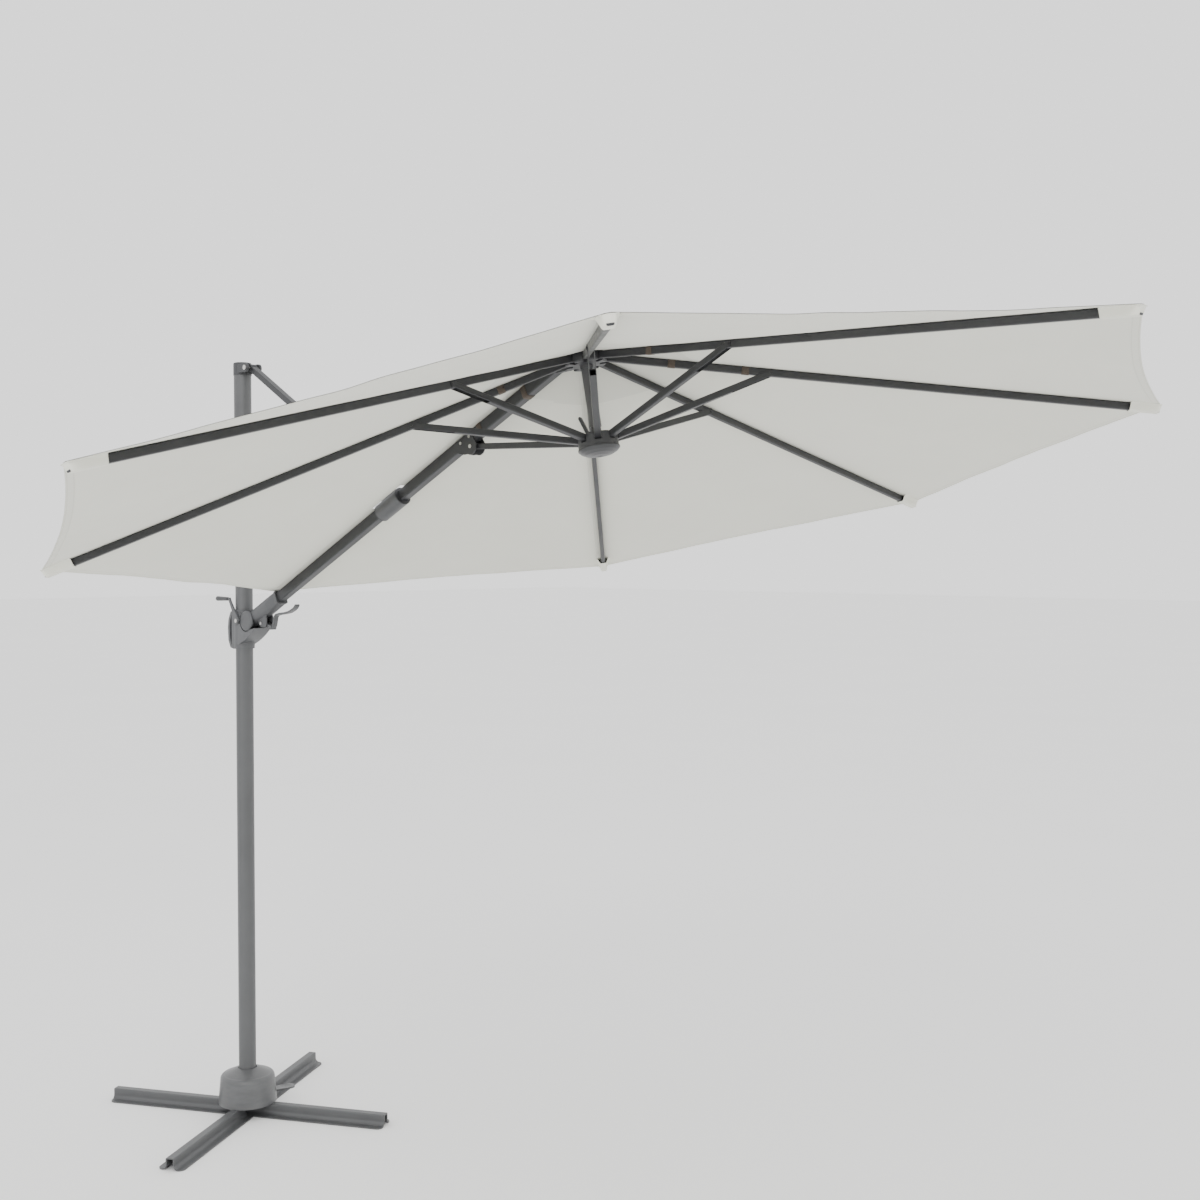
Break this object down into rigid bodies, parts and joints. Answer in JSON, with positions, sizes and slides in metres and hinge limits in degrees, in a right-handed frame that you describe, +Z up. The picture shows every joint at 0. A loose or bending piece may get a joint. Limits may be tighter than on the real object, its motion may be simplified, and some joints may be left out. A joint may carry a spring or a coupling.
{
  "type": "cantilever parasol",
  "caption": "Cantilever garden parasol: cross base, turning mast with a sliding hinge, strut-held arm, and a tilted eight-sided canopy that folds on ribs and stretchers.",
  "frame": {"origin": "on the mast's axis at ground level, in the middle of the cross base", "axes": "+Z up along the mast, +X from the mast towards the canopy in the plane of the arm, +Y to the left of +X"},
  "size_m": [3.7133, 3.0204, 2.6438],
  "materials": {
    "beam_steel": "satin grey powder coat",
    "mast_steel": "satin grey powder coat",
    "dark_alu": "anthracite powder coat",
    "strut_steel": "anthracite powder coat",
    "cast_alu": "anthracite, cast",
    "tube_alu": "satin anodised",
    "grey_plastic": "moulded",
    "dark_plastic": "moulded, fine grain",
    "bearing_plastic": "natural",
    "bright_steel": "zinc plated",
    "canvas": "woven polyester"
  },
  "bodies": {
    "base": {"beam_lower": "beam_steel", "beam_upper": "beam_steel", "base_socket": "beam_steel", "beam_bolts": "bright_steel", "socket_bearings": "bearing_plastic", "base_cover": "grey_plastic", "pedal_pin": "bright_steel", "pedal_spring": "bright_steel"},
    "pedal": {"brake_pedal": "grey_plastic"},
    "mast": {"mast": "mast_steel", "brake_ring": "beam_steel", "mast_head": "cast_alu", "mast_head_bolt": "bright_steel"},
    "strut": {"strut": "strut_steel"},
    "collar": {"arm_collar": "cast_alu", "strut_bolt": "bright_steel"},
    "arm": {"arm": "dark_alu", "arm_ferrule": "cast_alu", "collar_bush": "dark_plastic", "arm_head": "cast_alu", "stretcher_bracket": "dark_alu", "bracket_rivets": "bright_steel", "bracket_pin": "bright_steel", "tilt_lever_pin": "bright_steel"},
    "tilt_lever": {"tilt_lever": "dark_plastic"},
    "knuckle": {"arm_knuckle": "cast_alu"},
    "slider": {"slider_body": "dark_plastic", "slider_liner": "bearing_plastic", "slider_grip": "dark_plastic", "pivot_bolt": "bright_steel", "clamp_screw": "bright_steel"},
    "clamp_lever": {"clamp_lever": "dark_plastic", "clamp_lever_grip": "dark_plastic"},
    "top_hub": {"top_hub": "dark_plastic", "hub_pins": "bright_steel", "hub_cap": "dark_plastic", "centre_tube": "tube_alu", "canopy": "canvas", "vent_cap": "canvas"},
    "stretcher_c": {"stretcher_c": "dark_alu"},
    "runner": {"runner": "dark_plastic", "runner_pins": "bright_steel", "latch_pin": "bright_steel"},
    "latch_lever": {"latch_lever": "dark_plastic"},
    "rib_g": {"rib_g": "dark_alu"},
    "stretcher_g": {"stretcher_g": "dark_alu"},
    "rib_f": {"rib_f": "dark_alu"},
    "stretcher_f": {"stretcher_f": "dark_alu"},
    "rib_e": {"rib_e": "dark_alu"},
    "stretcher_e": {"stretcher_e": "dark_alu"},
    "rib_d": {"rib_d": "dark_alu"},
    "stretcher_d": {"stretcher_d": "dark_alu"},
    "rib_b": {"rib_b": "dark_alu"},
    "stretcher_b": {"stretcher_b": "dark_alu"},
    "rib_a": {"rib_a": "dark_alu"},
    "stretcher_a": {"stretcher_a": "dark_alu"},
    "rib_h": {"rib_h": "dark_alu"},
    "stretcher_h": {"stretcher_h": "dark_alu"}
  },
  "joints": [
    {"name": "mast_turn", "type": "hinge", "parent": "base", "child": "mast", "pos_m": [0, 0, 0], "axis": [0, 0, 1], "continuous": true},
    {"name": "pedal_press", "type": "hinge", "parent": "base", "child": "pedal", "pos_m": [0.0176, 0.06568, 0.057], "axis": [-0.9659, 0.2588, 0], "range_deg": [0, 8], "stiffness_Nm_per_rad": 1, "springref_deg": -17.19},
    {"name": "arm_lift", "type": "hinge", "parent": "mast", "child": "strut", "pos_m": [0.062, 0, 2.62085], "axis": [0, 1, 0], "range_deg": [0, 52]},
    {"name": "collar_pivot", "type": "hinge", "parent": "strut", "child": "collar", "pos_m": [0.81947, 0, 2.18242], "axis": [0, -1, 0], "range_deg": [0, 104]},
    {"name": "arm_roll", "type": "hinge", "parent": "collar", "child": "arm", "pos_m": [0.84489, 0, 2.13029], "axis": [0.8988, 0, 0.4384], "range_deg": [-15, 15]},
    {"name": "ferrule_turn", "type": "hinge", "parent": "arm", "child": "knuckle", "pos_m": [0.13215, 0, 1.78266], "axis": [0.8988, 0, 0.4384], "range_deg": [-15, 15]},
    {"name": "slider_pivot", "type": "hinge", "parent": "knuckle", "child": "slider", "pos_m": [0.062, 0, 1.744], "axis": [0, 1, 0], "range_deg": [0, 52]},
    {"name": "clamp_turn", "type": "hinge", "parent": "slider", "child": "clamp_lever", "pos_m": [0.016, -0.039, 1.744], "axis": [0, -1, 0], "range_deg": [0, 60]},
    {"name": "tilt_squeeze", "type": "hinge", "parent": "arm", "child": "tilt_lever", "pos_m": [0.12724, 0, 1.73799], "axis": [0, -1, 0], "range_deg": [0, 8], "stiffness_Nm_per_rad": 1, "springref_deg": -17.19},
    {"name": "canopy_fold", "type": "hinge", "parent": "arm", "child": "top_hub", "pos_m": [1.64541, 0, 2.48958], "axis": [0, 1, 0], "range_deg": [0, 71], "deforming": ["canopy", "vent_cap"]},
    {"name": "rib_fold_g", "type": "hinge", "parent": "top_hub", "child": "rib_g", "pos_m": [1.73931, 0, 2.50954], "axis": [0, 1, 0], "range_deg": [0, 71]},
    {"name": "stretcher_fold_g", "type": "hinge", "parent": "rib_g", "child": "stretcher_g", "pos_m": [2.19404, 0, 2.49366], "axis": [0, -1, 0], "range_deg": [0, 142]},
    {"name": "rib_fold_f", "type": "hinge", "parent": "top_hub", "child": "rib_f", "pos_m": [1.72556, 0.03394, 2.50662], "axis": [-0.6917, 0.7071, -0.147], "range_deg": [0, 71]},
    {"name": "stretcher_fold_f", "type": "hinge", "parent": "rib_f", "child": "stretcher_f", "pos_m": [2.0538, 0.34612, 2.46385], "axis": [0.6917, -0.7071, 0.147], "range_deg": [0, 142]},
    {"name": "rib_fold_e", "type": "hinge", "parent": "top_hub", "child": "rib_e", "pos_m": [1.69236, 0.048, 2.49956], "axis": [-0.9781, 0, -0.2079], "range_deg": [0, 71]},
    {"name": "stretcher_fold_e", "type": "hinge", "parent": "rib_e", "child": "stretcher_e", "pos_m": [1.71525, 0.48948, 2.39189], "axis": [0.9781, 0, 0.2079], "range_deg": [0, 142]},
    {"name": "rib_fold_d", "type": "hinge", "parent": "top_hub", "child": "rib_d", "pos_m": [1.65916, 0.03394, 2.4925], "axis": [-0.6917, -0.7071, -0.147], "range_deg": [0, 71]},
    {"name": "stretcher_fold_d", "type": "hinge", "parent": "rib_d", "child": "stretcher_d", "pos_m": [1.37669, 0.34612, 2.31993], "axis": [0.6917, 0.7071, 0.147], "range_deg": [0, 142]},
    {"name": "rib_fold_b", "type": "hinge", "parent": "top_hub", "child": "rib_b", "pos_m": [1.65916, -0.03394, 2.4925], "axis": [0.6917, -0.7071, 0.147], "range_deg": [0, 71]},
    {"name": "stretcher_fold_b", "type": "hinge", "parent": "rib_b", "child": "stretcher_b", "pos_m": [1.37669, -0.34612, 2.31993], "axis": [-0.6917, 0.7071, -0.147], "range_deg": [0, 142]},
    {"name": "rib_fold_a", "type": "hinge", "parent": "top_hub", "child": "rib_a", "pos_m": [1.69236, -0.048, 2.49956], "axis": [0.9781, 0, 0.2079], "range_deg": [0, 71]},
    {"name": "stretcher_fold_a", "type": "hinge", "parent": "rib_a", "child": "stretcher_a", "pos_m": [1.71525, -0.48948, 2.39189], "axis": [-0.9781, 0, -0.2079], "range_deg": [0, 142]},
    {"name": "rib_fold_h", "type": "hinge", "parent": "top_hub", "child": "rib_h", "pos_m": [1.72556, -0.03394, 2.50662], "axis": [0.6917, 0.7071, 0.147], "range_deg": [0, 71]},
    {"name": "stretcher_fold_h", "type": "hinge", "parent": "rib_h", "child": "stretcher_h", "pos_m": [2.0538, -0.34612, 2.46385], "axis": [-0.6917, -0.7071, -0.147], "range_deg": [0, 142]},
    {"name": "stretcher_fold_c", "type": "hinge", "parent": "arm", "child": "stretcher_c", "pos_m": [1.23646, 0, 2.29012], "axis": [0, 1, 0], "range_deg": [0, 142]},
    {"name": "runner_pivot", "type": "hinge", "parent": "stretcher_c", "child": "runner", "pos_m": [1.69118, 0, 2.27424], "axis": [0, -1, 0], "range_deg": [0, 71]},
    {"name": "latch_press", "type": "hinge", "parent": "runner", "child": "latch_lever", "pos_m": [1.71291, -0.00918, 2.29624], "axis": [-0.3743, 0.9239, -0.0796], "range_deg": [0, 15], "stiffness_Nm_per_rad": 0.3, "springref_deg": -17.19}
  ],
  "couplings": [
    {"joint": "collar_pivot", "follows": "arm_lift", "ratio": 2},
    {"joint": "ferrule_turn", "follows": "arm_roll", "ratio": -1},
    {"joint": "slider_pivot", "follows": "arm_lift", "ratio": 1},
    {"joint": "rib_fold_g", "follows": "canopy_fold", "ratio": 1},
    {"joint": "stretcher_fold_g", "follows": "canopy_fold", "ratio": 2},
    {"joint": "rib_fold_f", "follows": "canopy_fold", "ratio": 1},
    {"joint": "stretcher_fold_f", "follows": "canopy_fold", "ratio": 2},
    {"joint": "rib_fold_e", "follows": "canopy_fold", "ratio": 1},
    {"joint": "stretcher_fold_e", "follows": "canopy_fold", "ratio": 2},
    {"joint": "rib_fold_d", "follows": "canopy_fold", "ratio": 1},
    {"joint": "stretcher_fold_d", "follows": "canopy_fold", "ratio": 2},
    {"joint": "rib_fold_b", "follows": "canopy_fold", "ratio": 1},
    {"joint": "stretcher_fold_b", "follows": "canopy_fold", "ratio": 2},
    {"joint": "rib_fold_a", "follows": "canopy_fold", "ratio": 1},
    {"joint": "stretcher_fold_a", "follows": "canopy_fold", "ratio": 2},
    {"joint": "rib_fold_h", "follows": "canopy_fold", "ratio": 1},
    {"joint": "stretcher_fold_h", "follows": "canopy_fold", "ratio": 2},
    {"joint": "stretcher_fold_c", "follows": "canopy_fold", "ratio": 2},
    {"joint": "runner_pivot", "follows": "canopy_fold", "ratio": 1}
  ]
}
